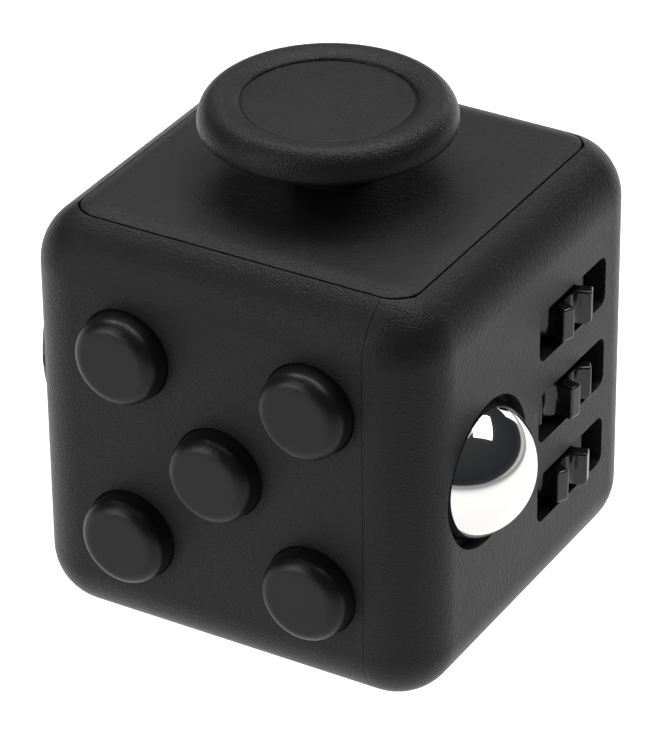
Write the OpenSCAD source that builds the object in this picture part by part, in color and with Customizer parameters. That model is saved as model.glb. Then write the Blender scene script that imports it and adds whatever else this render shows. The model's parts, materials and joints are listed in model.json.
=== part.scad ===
// Fidget cube: a rounded case with buttons, a ball and wheels, a joystick, a rocker and a dial.
// Millimetres. +Z is up, the origin is the middle of the case's underside.
// Front (-Y) carries the buttons, right (+X) the ball and the wheels, top (+Z) the joystick,
// back (+Y) the rocker, left (-X) the dial, and the underside the thumb dish.

/* [Case] */
// Length of one side of the case
side = 33; // [32.8:0.1:33.4]
// Radius of the case's rounded edges
edge_r = 4.6; // [4.4:0.1:4.8]
// Thickness of the moulded walls
wall = 1.5; // [1.4:0.1:1.5]
// Half the width of the inset top, bottom and left plates
plate_half = 13.8; // [13.7:0.1:13.9]
// Distance of the right cap's upright seam from the middle plane
seam_x = 11.7; // [11.6:0.1:11.8]
// Gap left open at every seam
seam_gap = 0.06; // [0.04:0.01:0.08]

/* [Buttons] */
// Radius of a button where it leaves the wall
button_r = 3.5; // [3.4:0.1:3.6]
// Height of a button above the wall at rest
button_proud = 1.95; // [1.8:0.05:2.1]
// Offset of the outer buttons from the middle one, both ways
button_step = 7.5; // [7.4:0.1:7.6]

/* [Ball and wheels] */
// Radius of the steel ball
ball_r = 5.35; // [5.3:0.05:5.35]
// Height of the ball above the wall at rest
ball_proud = 3.3; // [3.2:0.05:3.35]
// Radius of the opening that the ball stands in
ball_hole_r = 5.7; // [5.65:0.05:5.75]
// Place of the ball across the right side
ball_y = -7.1; // [-7.2:0.1:-7.0]
// Place of the wheels' axle across the right side
wheel_y = 5.6; // [5.5:0.1:5.7]
// Radius over the teeth of a wheel
wheel_r = 4.4; // [4.3:0.1:4.4]
// Height of the wheels above the wall
wheel_proud = 1.05; // [1:0.05:1.1]
// Number of teeth on a wheel
wheel_teeth = 8; // [7:1:8]
// Distance from one wheel to the next
wheel_pitch = 6.8; // [6.7:0.1:6.9]

/* [Joystick] */
// Radius of the thumb cap
cap_r = 9.35; // [9.2:0.05:9.4]
// Radius of the cap's dished middle
cap_dish_r = 6.3; // [6.2:0.1:6.4]
// Height of the cap's rim above the table
cap_top = 39; // [38.8:0.1:39.2]
// Height of the point that the stick tilts about
pivot_z = 30; // [29.9:0.1:30.1]

/* [Rocker and dial] */
// Width of the rocker
rocker_w = 9; // [8.5:0.5:9]
// Angle that the rocker leans each way
rocker_tilt = 10; // [9:1:10]
// Radius of the dial
dial_r = 9.5; // [9:0.5:10]

/* [Hidden] */
$fn = 64;
mid = side / 2;
over = 0.5;
plate_t = 1.8;
plate_corner_r = 2;
running = 0.05;

// Corner columns and the pegs that the top and bottom plates press into them
column_x = 11.85;
column_y = 10.9;
column_reach = mid - wall + 0.2;
column_h = 5.4;
peg_x = 12.9;
peg_y = 12.2;
peg_r = 0.75;
peg_len = 4;

// Buttons: depths below the outer face, measured inwards
flange_r = 4.2;
flange_t = 0.8;
button_bore_r = button_r + 0.08;
dome_front = 2.4;
dome_back = 4;
backplate_t = 1;
snap_dome_h = 0.65;
snap_dome_r = 2.6;
rubber_dome_r = 2.6;
button_screws_xy = [[0, 9.3], [0, -9.3], [-9, 0]];
button_boss_r = 1.5;
button_corners = [[-1, 1], [1, 1], [-1, -1], [1, -1]];

// Ball, cradle and housing: depths below the outer face, measured inwards
ball_depth = ball_r - ball_proud;
ball_gap = 0.04;
cup_r = 5.95;
cup_front = 3;
cup_back = 8.5;
housing_front = 9.6;
housing_bore_r = 6.02;
housing_r = 6.6;
housing_screw_z = 8.6;
housing_boss_r = 1.4;

// Wheels
wheel_x = mid + wheel_proud - wheel_r;
wheel_h = 2.75;
wheel_root_r = 3;
wheel_hub_h = 3.46;
wheel_hub_r = 1.7;
wheel_drop = 0.25;
wheel_bore_r = 0.8;
axle_r = 0.75;
tooth_t = 1.05;
window_h = 4.05;
window_w = 10.2;
window_r = 0.8;
rib_h = 2.8;
end_rib_h = 1.6;
axle_h = 2 * wheel_pitch + wheel_hub_h + 2 * end_rib_h - 0.2;
wheel_turn = [-24.5, -13, -27.5];

// Joystick
skirt_r = 4.4;
skirt_t = 0.6;
skirt_bottom = pivot_z + 0.8;
stem_r = 1.2;
stem_bottom = pivot_z - 4.4;
pin_r = 0.5;
pin_bore_r = 0.55;
ring_in_r = 1.8;
ring_out_r = 2.6;
ring_h = 1.3;
neck_r = 2.2;
cap_bottom = cap_top - 2.4;
cap_floor = cap_top - 0.5;
cap_shift = [-0.3, -0.2, 0];
socket_bottom = cap_bottom - 0.5;
neck_top = cap_bottom + 0.5;
stick_boss_xy = 6.3;
stick_boss_r = 1.3;
flange_top = pivot_z - 1.3;
flange_bottom = flange_top - 1.1;
tube_bottom = pivot_z - 9.4;
spring_r = 2;
spring_wire = 0.25;
spring_turns = 7;
spring_top = pivot_z - 2.8;

// Rocker: depths below the outer face, measured inwards
rocker_pivot = 2.3;
rocker_end_r = 8.2;
rocker_lip_r = 0.6;
rocker_window_w = rocker_w + 0.3;
rocker_window_half = rocker_end_r + 0.15;
rocker_pin_r = 0.6;
rocker_pin_len = 11;
heel_drop = 3.4;
heel_r = 0.8;
rocker_floor = 8;
rocker_screw_x = 7.4;
ear_t = 0.9;

// Screws
shank_r = 0.5;
head_r = 1;
head_h = 0.6;
clear_r = 0.65;
pilot_r = 0.55;

// Dial: depths below the outer face, measured inwards
dial_lift = 0.15;
dial_hub_r = 3;
dial_hub_end = plate_t + 0.1;
retainer_t = 1;
retainer_r = 5;
dial_flutes = 24;

button_black = [0.12, 0.12, 0.125];
case_black = [0.15, 0.15, 0.155];
inner_white = [0.86, 0.86, 0.84];
steel = [0.75, 0.76, 0.78];
spring_steel = [0.6, 0.6, 0.62];

// ---- Places: local +Z points out of the face, and local z = 0 is its outer surface ----

module on_front() { translate([0, -mid, mid]) rotate([90, 0, 0]) children(); }
module on_right() { translate([mid, 0, mid]) rotate([90, 0, 90]) children(); }
module on_back() { translate([0, mid, mid]) rotate([90, 0, 180]) children(); }
module on_left() { translate([-mid, 0, mid]) rotate([90, 0, -90]) children(); }
module on_top() { translate([0, 0, side]) children(); }
module on_bottom() { rotate([180, 0, 0]) children(); }

// ---- Shared shapes ----

// A cylinder that runs from height a to height b
module post(r, a, b) { translate([0, 0, a]) cylinder(r = r, h = b - a); }

// A rectangle with round corners
module soft_rect(w, h, r) {
    square([w - 2 * r, h], center = true);
    square([w, h - 2 * r], center = true);
    for (x = [-1, 1], y = [-1, 1])
        translate([x * (w / 2 - r), y * (h / 2 - r)]) circle(r = r);
}

// A cube whose twelve edges are round
module soft_cube(w, r) {
    intersection() {
        linear_extrude(height = w, center = true) soft_rect(w, w, r);
        rotate([90, 0, 0]) linear_extrude(height = w, center = true) soft_rect(w, w, r);
        rotate([0, 90, 0]) linear_extrude(height = w, center = true) soft_rect(w, w, r);
    }
}

// The whole outside of the case, with its corners taken down to the same roundness
module case_outside() {
    corner_reach = (mid - edge_r) * sqrt(3) + edge_r;
    translate([0, 0, mid]) intersection() {
        soft_cube(side, edge_r);
        sphere(r = corner_reach);
    }
}

module case_inside() { translate([0, 0, mid]) soft_cube(side - 2 * wall, edge_r - wall); }

// The block that an inset plate fills, in a face's local frame
module plate_block(half) {
    translate([0, 0, -plate_t])
        linear_extrude(height = plate_t + over) soft_rect(2 * half, 2 * half, plate_corner_r);
}

// Everything that belongs to the right cap, with the seam moved by gap
module right_side(gap) {
    translate([seam_x - gap, -mid - over, -over])
        cube([mid + over - seam_x + gap, side + 2 * over, side + 2 * over]);
}

// The two front and two back corner columns of one side, as far out as reach, and inside the wall
module columns(sx, reach) {
    intersection() {
        for (sy = [-1, 1], z = [plate_t + running, side - plate_t - running - column_h])
            translate([sx > 0 ? column_x : -reach, sy > 0 ? column_y : -column_reach, z])
                cube([reach - column_x, column_reach - column_y, column_h]);
        translate([0, 0, mid]) soft_cube(2 * column_reach, edge_r - mid + column_reach);
    }
}

// The holes for the pegs in the two columns on one side
module peg_holes(sx) {
    for (sy = [-1, 1], z = [0, side - peg_len - plate_t])
        translate([sx * peg_x, sy * peg_y, z])
            cylinder(r = peg_r + running, h = peg_len + plate_t);
}

// The four pegs under an inset plate, in the face's local frame
module pegs() {
    for (x = [-1, 1], y = [-1, 1])
        translate([x * peg_x, y * peg_y, 0]) post(peg_r, -plate_t - peg_len + 0.3, -plate_t + 0.1);
}

// A screw whose head sits at depth d and points its shank outwards
module screw(d, length) {
    post(head_r, -d - head_h, -d);
    post(shank_r, -d, -d + length);
}

// A boss from the wall's inner face to depth d, with its pilot hole cut by the caller
module boss(r, d) { post(r, -d, -wall + 0.1); }

// ---- Case ----

module button_places() {
    children();
    for (c = button_corners) translate([c[0] * button_step, c[1] * button_step, 0]) children();
}

module main_shell() {
    color(case_black) difference() {
        union() {
            difference() {
                case_outside();
                case_inside();
                right_side(seam_gap);
            }
            columns(-1, mid - plate_t - running);
            on_front() for (p = button_screws_xy) translate(p) boss(button_boss_r, dome_back - running);
            on_back() for (s = [-1, 1]) {
                translate([s * rocker_screw_x, 0, 0]) boss(button_boss_r, rocker_floor - running);
                translate([s * (rocker_window_w + ear_t) / 2, 0, -(wall + rocker_pivot) / 2 - 0.6])
                    cube([ear_t, 3, rocker_pivot + 0.5], center = true);
            }
        }
        on_top() plate_block(plate_half + seam_gap);
        on_bottom() plate_block(plate_half + seam_gap);
        on_left() plate_block(plate_half + seam_gap);
        peg_holes(-1);
        on_front() {
            button_places() post(button_bore_r, -wall - over, over);
            for (p = button_screws_xy) translate(p) post(pilot_r, -dome_back, -wall);
        }
        on_back() {
            translate([0, 0, -wall / 2])
                cube([rocker_window_w, 2 * rocker_window_half, wall + over], center = true);
            translate([0, 0, -rocker_pivot]) rotate([0, 90, 0])
                cylinder(r = rocker_pin_r + running / 2, h = rocker_pin_len + 0.2, center = true);
            for (s = [-1, 1])
                translate([s * rocker_screw_x, 0, 0]) post(pilot_r, -rocker_floor, -wall - 1);
        }
    }
}

// The wheel slots lie one above the other beside the ball
module wheel_levels() {
    for (level = [-1, 0, 1]) translate([0, level * wheel_pitch, 0]) children();
}

module axle_ribs() {
    rib_in = wheel_x - mid - 1.4;
    rib_deep = -rib_in - wall + 0.1;
    end_rib_at = wheel_pitch + wheel_hub_h / 2 + end_rib_h / 2 + wheel_drop + 0.02;
    for (s = [-1, 1]) {
        translate([wheel_y - 1.5, s * wheel_pitch / 2 - rib_h / 2, rib_in]) cube([3, rib_h, rib_deep]);
        translate([wheel_y - 1.5, s * end_rib_at - end_rib_h / 2, rib_in]) cube([3, end_rib_h, rib_deep]);
    }
}

// Tongues that slide behind the front and back walls and line the cap up
module cap_tongues() {
    for (s = [-1, 1]) translate([column_x, s * (mid - wall), mid]) {
        translate([0.3, -s * 0.425, 0]) cube([3.4, 0.75, 5.6], center = true);
        translate([1.5, -s * 0.3, 0]) cube([3, 1, 5.6], center = true);
    }
}

module roll_panel() {
    color(case_black) difference() {
        union() {
            intersection() {
                difference() {
                    case_outside();
                    case_inside();
                }
                right_side(0);
            }
            columns(1, column_reach);
            on_right() {
                axle_ribs();
                for (s = [-1, 1])
                    translate([ball_y, s * housing_screw_z, 0]) boss(housing_boss_r, housing_front - running);
            }
            cap_tongues();
        }
        on_top() plate_block(plate_half + seam_gap);
        on_bottom() plate_block(plate_half + seam_gap);
        peg_holes(1);
        translate([wheel_x, wheel_y, mid])
            cylinder(r = axle_r + running / 2, h = axle_h + 0.2, center = true);
        on_right() {
            translate([ball_y, 0, 0]) {
                post(ball_hole_r, -0.6, over);
                translate([0, 0, -0.25]) cylinder(r1 = ball_hole_r, r2 = ball_hole_r + 0.25, h = 0.26);
                translate([0, 0, -ball_depth]) sphere(r = ball_r + ball_gap);
                for (s = [-1, 1]) translate([0, s * housing_screw_z, 0]) post(pilot_r, -housing_front, -4);
            }
            wheel_levels() translate([wheel_y, 0, -wall - 0.1])
                linear_extrude(height = wall + over) soft_rect(window_w, window_h, window_r);
        }
    }
}

module glide_plate() {
    color(case_black) difference() {
        union() {
            intersection() {
                case_outside();
                on_top() plate_block(plate_half);
            }
            on_top() pegs();
            for (x = [-1, 1], y = [-1, 1])
                translate([x * stick_boss_xy, y * stick_boss_xy, 0])
                    post(stick_boss_r, flange_top + running, side - 1);
        }
        translate([0, 0, pivot_z]) sphere(r = skirt_r + 0.1);
        for (x = [-1, 1], y = [-1, 1])
            translate([x * stick_boss_xy, y * stick_boss_xy, 0]) post(pilot_r, flange_top, side - 1.2);
    }
}

module spin_plate() {
    color(case_black) difference() {
        intersection() {
            case_outside();
            on_left() plate_block(plate_half);
        }
        on_left() post(dial_hub_r + running, -plate_t - over, over);
    }
}

module breathe_plate() {
    dish_r = 9;
    dish_depth = 1.2;
    dish_ball = (dish_r * dish_r + dish_depth * dish_depth) / (2 * dish_depth);
    color(case_black) difference() {
        union() {
            intersection() {
                case_outside();
                on_bottom() plate_block(plate_half);
            }
            on_bottom() pegs();
            post(10, plate_t - 0.1, plate_t + 0.8);
        }
        translate([0, 0, dish_depth - dish_ball]) sphere(r = dish_ball);
    }
}

// ---- Buttons ----

// A push button: a slightly drafted cap, the flange that holds it in and a stub underneath
module button(stub_r, stub_len) {
    tip_r = button_r - 0.1;
    round_r = 0.9;
    bottom = -wall - running - flange_t;
    color(button_black) rotate_extrude() polygon(concat(
        [[0, bottom - stub_len], [stub_r, bottom - stub_len], [stub_r, bottom], [flange_r, bottom],
            [flange_r, bottom + flange_t], [button_r, bottom + flange_t], [button_r, 0]],
        [for (a = [0:15:90]) [tip_r - round_r + round_r * cos(a), button_proud - round_r + round_r * sin(a)]],
        [[0, button_proud]]));
}

// Clicking button: its stub presses the snap dome
module click_button() { button(1, dome_back - snap_dome_h - dome_front); }

// Silent button: its flat flange presses the rubber dome
module silent_button() { button(1, 0.02); }

// Thin pressed steel dome, open below, standing at depth d
module snap_dome(d, r, h) {
    ball = (r * r + h * h) / (2 * h);
    color(spring_steel) translate([0, 0, -d]) rotate_extrude() intersection() {
        translate([0, h - ball]) difference() {
            circle(r = ball, $fn = 400);
            circle(r = ball - 0.15, $fn = 400);
        }
        square([r, h]);
    }
}

// Soft rubber dome: a cone with a thin wall and a flat top
module rubber_dome(d, h) {
    color([0.8, 0.8, 0.78]) translate([0, 0, -d]) rotate_extrude()
        polygon([[rubber_dome_r, 0], [rubber_dome_r, 0.3], [1.6, h - 0.2], [1.4, h], [0, h], [0, h - 0.6],
            [1, h - 0.6], [rubber_dome_r - 0.6, 0]]);
}

module front_dome(clicks) {
    if (clicks) snap_dome(dome_back, snap_dome_r, snap_dome_h - 0.05);
    else rubber_dome(dome_back, dome_back - dome_front - 0.05);
}

// A button or its dome at one corner of the front
module at_corner(i) {
    translate([button_corners[i][0] * button_step, button_corners[i][1] * button_step, 0]) children();
}

module button_backplate() {
    color(inner_white) on_front() difference() {
        translate([0, 0, -dome_back - backplate_t])
            linear_extrude(height = backplate_t) soft_rect(23.4, 23.4, 2);
        translate([housing_front - 4, -5.8, -dome_back - backplate_t - over])
            cube([8, 11.6, backplate_t + 2 * over]);
        for (p = button_screws_xy) translate(p) post(clear_r, -dome_back - 2, -dome_back + 1);
    }
}

module button_screws() {
    color(steel) on_front() for (p = button_screws_xy) translate(p) screw(dome_back + backplate_t, 2.8);
}

// ---- Ball ----

module steel_ball() {
    color(steel) on_right() translate([ball_y, 0, -ball_depth]) sphere(r = ball_r);
}

module ball_cradle() {
    color(inner_white) on_right() translate([ball_y, 0, 0]) difference() {
        union() {
            post(cup_r, -cup_back, -cup_front);
            post(1.2, -cup_back - 0.35, -cup_back + 0.1);
        }
        translate([0, 0, -ball_depth]) sphere(r = ball_r + ball_gap);
    }
}

module cradle_dome() {
    on_right() translate([ball_y, 0, 0]) snap_dome(housing_front, 3.4, housing_front - cup_back - 0.4);
}

module ball_housing() {
    color(inner_white) on_right() translate([ball_y, 0, 0]) difference() {
        union() {
            post(housing_r, -housing_front - 1, -cup_front - 0.2);
            translate([0, 0, -housing_front - 0.5]) cube([3, 2 * housing_screw_z + 3, 1], center = true);
        }
        post(housing_bore_r, -housing_front, 0);
        for (s = [-1, 1])
            translate([0, s * housing_screw_z, 0]) post(clear_r, -housing_front - 2, -housing_front + 1);
    }
}

module ball_housing_screws() {
    color(steel) on_right() for (s = [-1, 1])
        translate([ball_y, s * housing_screw_z, 0]) screw(housing_front + 1, 5);
}

// ---- Wheels ----

// A toothed wheel on an upright axle, turned by the angle it stands at and resting on the rib below
module paddle_wheel(level) {
    chamfer = 0.3;
    color(button_black) translate([wheel_x, wheel_y, mid + level * wheel_pitch - wheel_drop])
        rotate([0, 0, wheel_turn[1 - level]]) difference() {
            union() {
                intersection() {
                    linear_extrude(height = wheel_h, center = true)
                        for (i = [0:wheel_teeth - 1]) rotate(i * 360 / wheel_teeth)
                            translate([0, -tooth_t / 2]) square([wheel_r, tooth_t]);
                    rotate_extrude() polygon([[0, -wheel_h / 2], [wheel_r - chamfer, -wheel_h / 2],
                        [wheel_r, chamfer - wheel_h / 2], [wheel_r, wheel_h / 2 - chamfer],
                        [wheel_r - chamfer, wheel_h / 2], [0, wheel_h / 2]]);
                }
                cylinder(r = wheel_root_r, h = wheel_h - 0.2, center = true);
                cylinder(r = wheel_hub_r, h = wheel_hub_h, center = true);
            }
            cylinder(r = wheel_bore_r, h = wheel_hub_h + 1, center = true);
        }
}

module wheel_axle() {
    color(steel) translate([wheel_x, wheel_y, mid])
        cylinder(r = axle_r, h = axle_h, center = true);
}

// ---- Joystick ----

// The dished thumb cap: a rim of soft outline, a flat sunk middle and a socket for the neck
module thumb_cap() {
    side_z = cap_bottom + 0.6;
    crest_r = cap_r - 1.55;
    color(button_black) difference() {
        union() {
            translate(cap_shift) rotate_extrude() polygon(concat(
                [[0, cap_bottom], [cap_r - 0.4, cap_bottom], [cap_r - 0.05, cap_bottom + 0.3]],
                [for (a = [0:10:90])
                    [crest_r + (cap_r - crest_r) * cos(a), side_z + (cap_top - side_z) * sin(a)]],
                [[cap_dish_r + 0.75, cap_top - 0.1], [cap_dish_r, cap_top - 0.42],
                    [cap_dish_r - 0.05, cap_floor], [0, cap_floor]]));
            post(neck_r + 1, socket_bottom, cap_bottom + 0.1);
        }
        post(neck_r + 0.01, socket_bottom - 1, neck_top + 0.02);
    }
}

module stick() {
    color(button_black) difference() {
        union() {
            translate([0, 0, pivot_z]) difference() {
                sphere(r = skirt_r);
                sphere(r = skirt_r - skirt_t);
                translate([0, 0, skirt_bottom - pivot_z - skirt_r]) cube(2 * skirt_r, center = true);
            }
            post(neck_r, pivot_z + skirt_r - skirt_t + 0.05, neck_top);
            post(stem_r, stem_bottom, pivot_z + skirt_r - skirt_t + 0.3);
            translate([0, 0, pivot_z]) rotate([0, 90, 0])
                cylinder(r = pin_r, h = 2 * ring_out_r - 0.1, center = true);
        }
    }
}

module gimbal_ring() {
    color(inner_white) translate([0, 0, pivot_z]) {
        difference() {
            cylinder(r = ring_out_r, h = ring_h, center = true);
            cylinder(r = ring_in_r, h = ring_h + 1, center = true);
            rotate([0, 90, 0]) cylinder(r = pin_bore_r, h = 3 * ring_out_r, center = true);
        }
        for (s = [-1, 1]) translate([0, s * (ring_out_r + 0.3), 0]) rotate([90, 0, 0])
            cylinder(r = pin_r, h = 1, center = true);
    }
}

module stick_housing() {
    arm_in = ring_out_r + 0.15;
    arm_out = arm_in + 0.65;
    color(inner_white) difference() {
        union() {
            translate([0, 0, flange_bottom]) linear_extrude(height = flange_top - flange_bottom) {
                circle(r = 6);
                for (a = [45, 135])
                    rotate(a) square([2 * (stick_boss_xy * sqrt(2) + 1.3), 2.6], center = true);
            }
            post(3.5, tube_bottom, flange_bottom + 0.3);
            for (s = [-1, 1]) translate([-1.2, s > 0 ? arm_in : -arm_out, flange_top - 0.3])
                cube([2.4, arm_out - arm_in, pivot_z + 1.1 - flange_top]);
        }
        post(2.6, tube_bottom + 1, flange_top + over);
        translate([0, 0, pivot_z]) rotate([90, 0, 0]) cylinder(r = pin_bore_r, h = 12, center = true);
        for (x = [-1, 1], y = [-1, 1])
            translate([x * stick_boss_xy, y * stick_boss_xy, 0])
                post(clear_r, flange_bottom - 1, flange_top + 1);
    }
}

module stick_housing_screws() {
    color(steel) for (x = [-1, 1], y = [-1, 1])
        translate([x * stick_boss_xy, y * stick_boss_xy, side]) screw(side - flange_bottom, 3.6);
}

// One ring of a coil's section, and the coil itself as a swept tube
function coil_ring(r, wire, a, z, n) =
    [for (i = [0:n - 1])
        let (t = 360 * i / n, out = r + wire * cos(t)) [out * cos(a), out * sin(a), z + wire * sin(t)]];

module coil_spring(r, wire, turns, height) {
    sides = 8;
    steps = 20 * turns;
    rise = (height - 2 * wire) / steps;
    points = [for (k = [0:steps]) each coil_ring(r, wire, k * 360 * turns / steps, wire + k * rise, sides)];
    walls = [for (k = [0:steps - 1], i = [0:sides - 1])
        [k * sides + i, k * sides + (i + 1) % sides, (k + 1) * sides + (i + 1) % sides, (k + 1) * sides + i]];
    polyhedron(points = points, convexity = 20, faces = concat(walls,
        [[for (i = [sides - 1:-1:0]) i]], [[for (i = [0:sides - 1]) steps * sides + i]]));
}

module stick_spring() {
    color(spring_steel) translate([0, 0, tube_bottom + 1])
        coil_spring(spring_r, spring_wire, spring_turns, spring_top - tube_bottom - 1);
}

// ---- Rocker ----

// The rocker lies tilted, one end up, as the switch does in either of its two states
module rocker() {
    lip_at = asin((button_proud + rocker_pivot - rocker_lip_r) / (rocker_end_r - rocker_lip_r)) - rocker_tilt;
    lip = (rocker_end_r - rocker_lip_r) * [cos(lip_at), sin(lip_at)];
    color(button_black) on_back() translate([0, 0, -rocker_pivot]) rotate([rocker_tilt, 0, 0])
        difference() {
            rotate([90, 0, 90]) linear_extrude(height = rocker_w, center = true) {
                intersection() {
                    circle(r = rocker_end_r);
                    polygon([[-lip[0], lip[1] + rocker_lip_r], [0, lip[1] - 0.35],
                        [lip[0], lip[1] + rocker_lip_r], [lip[0], lip[1]], [rocker_end_r, lip[1]],
                        [rocker_end_r, 1], [rocker_end_r - 1.2, -0.4], [-rocker_end_r + 1.2, -0.4],
                        [-rocker_end_r, 1], [-rocker_end_r, lip[1]], [-lip[0], lip[1]]]);
                }
                for (s = [-1, 1]) translate([s * lip[0], lip[1]]) circle(r = rocker_lip_r);
                circle(r = 1.5);
            }
            rotate([0, 90, 0]) cylinder(r = rocker_pin_r + running, h = rocker_w + 1, center = true);
        }
    color(button_black) on_back() translate([0, 0, -rocker_pivot]) rotate([rocker_tilt, 0, 0])
        rotate([90, 0, 90]) linear_extrude(height = 3, center = true) {
            translate([-heel_r, -heel_drop]) square([2 * heel_r, heel_drop - 1]);
            translate([0, -heel_drop]) circle(r = heel_r);
        }
}

module rocker_pin() {
    color(steel) on_back() translate([0, 0, -rocker_pivot]) rotate([0, 90, 0])
        cylinder(r = rocker_pin_r, h = rocker_pin_len, center = true);
}

// Bent strip with one hump in the middle that the heel snaps over
module rocker_spring() {
    hump_r = 1.55;
    strip_t = 0.25;
    color(spring_steel) on_back() translate([0, 0, -rocker_floor + running]) rotate([90, 0, 90])
        linear_extrude(height = 3, center = true) {
            intersection() {
                difference() {
                    circle(r = hump_r);
                    circle(r = hump_r - strip_t);
                }
                translate([-hump_r, 0]) square([2 * hump_r, hump_r]);
            }
            for (s = [-1, 1])
                translate([s > 0 ? hump_r - strip_t : -4, 0]) square([4 - hump_r + strip_t, strip_t]);
        }
}

module rocker_backplate() {
    color(inner_white) on_back() difference() {
        translate([0, 0, -rocker_floor - 1])
            linear_extrude(height = 1) soft_rect(2 * rocker_screw_x + 2.8, 10, 1.5);
        for (s = [-1, 1])
            translate([s * rocker_screw_x, 0, 0]) post(clear_r, -rocker_floor - 2, -rocker_floor + 1);
    }
}

module rocker_screws() {
    color(steel) on_back() for (s = [-1, 1])
        translate([s * rocker_screw_x, 0, 0]) screw(rocker_floor + 1, 4.5);
}

// ---- Dial ----

module dial() {
    color(button_black) on_left() difference() {
        union() {
            post(dial_r - 0.5, ball_proud - 0.5, ball_proud);
            post(dial_r, dial_lift, ball_proud - 0.4);
            post(dial_hub_r, -dial_hub_end, dial_lift + 0.1);
        }
        for (i = [0:dial_flutes - 1]) rotate([0, 0, i * 360 / dial_flutes])
            translate([dial_r + 0.35, 0, 0]) post(0.7, -over, ball_proud + over);
        translate([0, 0, ball_proud + 28.6]) sphere(r = 30);
        post(pilot_r + 0.25, -dial_hub_end - over, 0.9);
    }
}

module dial_retainer() {
    color(inner_white) on_left() difference() {
        post(retainer_r, -dial_hub_end - retainer_t - running, -dial_hub_end - running);
        post(pilot_r + 0.3, -dial_hub_end - retainer_t - over, 0);
    }
}

module dial_screw() {
    depth = dial_hub_end + retainer_t + running;
    color(steel) on_left() {
        post(1.6, -depth - 0.9, -depth);
        post(0.75, -depth, 0.6);
    }
}

main_shell();
roll_panel();
glide_plate();
spin_plate();
breathe_plate();
on_front() click_button();  // button_centre
on_front() at_corner(0) click_button();  // button_upper_left
on_front() at_corner(1) silent_button();  // button_upper_right
on_front() at_corner(2) silent_button();  // button_lower_left
on_front() at_corner(3) click_button();  // button_lower_right
on_front() front_dome(true);  // dome_centre
on_front() at_corner(0) front_dome(true);  // dome_upper_left
on_front() at_corner(1) front_dome(false);  // dome_upper_right
on_front() at_corner(2) front_dome(false);  // dome_lower_left
on_front() at_corner(3) front_dome(true);  // dome_lower_right
button_backplate();
button_screws();
steel_ball();
ball_cradle();
cradle_dome();
ball_housing();
ball_housing_screws();
paddle_wheel(1);  // wheel_upper
paddle_wheel(0);  // wheel_middle
paddle_wheel(-1);  // wheel_lower
wheel_axle();
thumb_cap();
stick();
gimbal_ring();
stick_housing();
stick_spring();
stick_housing_screws();
rocker();
rocker_pin();
rocker_spring();
rocker_backplate();
rocker_screws();
dial();
dial_retainer();
dial_screw();
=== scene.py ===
import json
import math

import bpy
from mathutils import Matrix, Vector


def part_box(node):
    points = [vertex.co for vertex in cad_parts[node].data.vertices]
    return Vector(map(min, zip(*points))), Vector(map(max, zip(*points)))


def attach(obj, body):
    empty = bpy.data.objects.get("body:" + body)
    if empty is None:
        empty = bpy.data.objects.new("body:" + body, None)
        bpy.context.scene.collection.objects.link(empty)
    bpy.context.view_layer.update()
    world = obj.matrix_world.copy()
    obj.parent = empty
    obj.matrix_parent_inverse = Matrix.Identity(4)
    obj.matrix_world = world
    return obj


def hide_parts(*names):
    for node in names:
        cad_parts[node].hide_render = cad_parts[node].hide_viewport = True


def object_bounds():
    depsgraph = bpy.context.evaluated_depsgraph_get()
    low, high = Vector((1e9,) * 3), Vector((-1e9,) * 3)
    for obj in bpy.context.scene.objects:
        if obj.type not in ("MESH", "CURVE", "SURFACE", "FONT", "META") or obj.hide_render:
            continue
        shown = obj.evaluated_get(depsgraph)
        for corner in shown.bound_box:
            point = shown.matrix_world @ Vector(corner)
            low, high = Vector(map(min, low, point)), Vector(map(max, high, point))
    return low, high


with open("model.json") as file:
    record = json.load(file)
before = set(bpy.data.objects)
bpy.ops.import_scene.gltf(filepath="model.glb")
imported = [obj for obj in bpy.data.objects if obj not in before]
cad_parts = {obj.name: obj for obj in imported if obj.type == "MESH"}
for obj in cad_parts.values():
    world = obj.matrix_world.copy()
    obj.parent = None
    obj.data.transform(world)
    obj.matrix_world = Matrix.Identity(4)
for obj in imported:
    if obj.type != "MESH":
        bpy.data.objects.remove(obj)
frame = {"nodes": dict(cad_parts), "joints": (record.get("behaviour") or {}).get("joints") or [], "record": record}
cad_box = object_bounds()

# ---------------------------------------------------------------------------------------------
# Main shell. One injection moulding in black ABS: the front wall, the back wall and the left
# frame of the case. Its mould was spark-eroded, which leaves a fine matt grain on every outer face.
# ---------------------------------------------------------------------------------------------
mm = 0.001
shell_low, shell_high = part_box("main_shell")
side = shell_high.y - shell_low.y
mid = side / 2
middle = Vector((0, 0, mid))

edge_r = 4.6 * mm
wall = 1.5 * mm
plate_t = 1.8 * mm
plate_corner = 2 * mm
plate_gap = 0.12 * mm
plate_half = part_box("glide_plate")[1].x - 0.2 * mm
seam_x = 11.7 * mm
seam_gap = 0.04 * mm
seam_soft = 0.08 * mm
column_in = Vector((11.85, 10.9, 0)) * mm
column_h = 5.4 * mm
peg_place = Vector((12.9, 12.2, 0)) * mm
peg_bore = 0.8 * mm
peg_bore_deep = 5.8 * mm
pilot_r = 0.55 * mm
boss_r = 1.5 * mm
backplate_screws = ((0, 9.3 * mm), (0, -9.3 * mm), (-9 * mm, 0))
backplate_deep = 3.95 * mm
button_bore = 3.58 * mm
# Shapes that are joined bite into each other, and shapes that cut reach far past the face
bite = 0.1 * mm
far = 3 * mm

FRONT, BACK, LEFT, RIGHT = Vector((0, -1, 0)), Vector((0, 1, 0)), Vector((-1, 0, 0)), Vector((1, 0, 0))
UP, DOWN = Vector((0, 0, 1)), Vector((0, 0, -1))


def finish_primitive(name):
    """Names the primitive just added and fixes its place in its mesh."""
    piece = bpy.context.object
    piece.name = piece.data.name = name
    bpy.ops.object.transform_apply(location=True, rotation=True, scale=True)
    return piece


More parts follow.
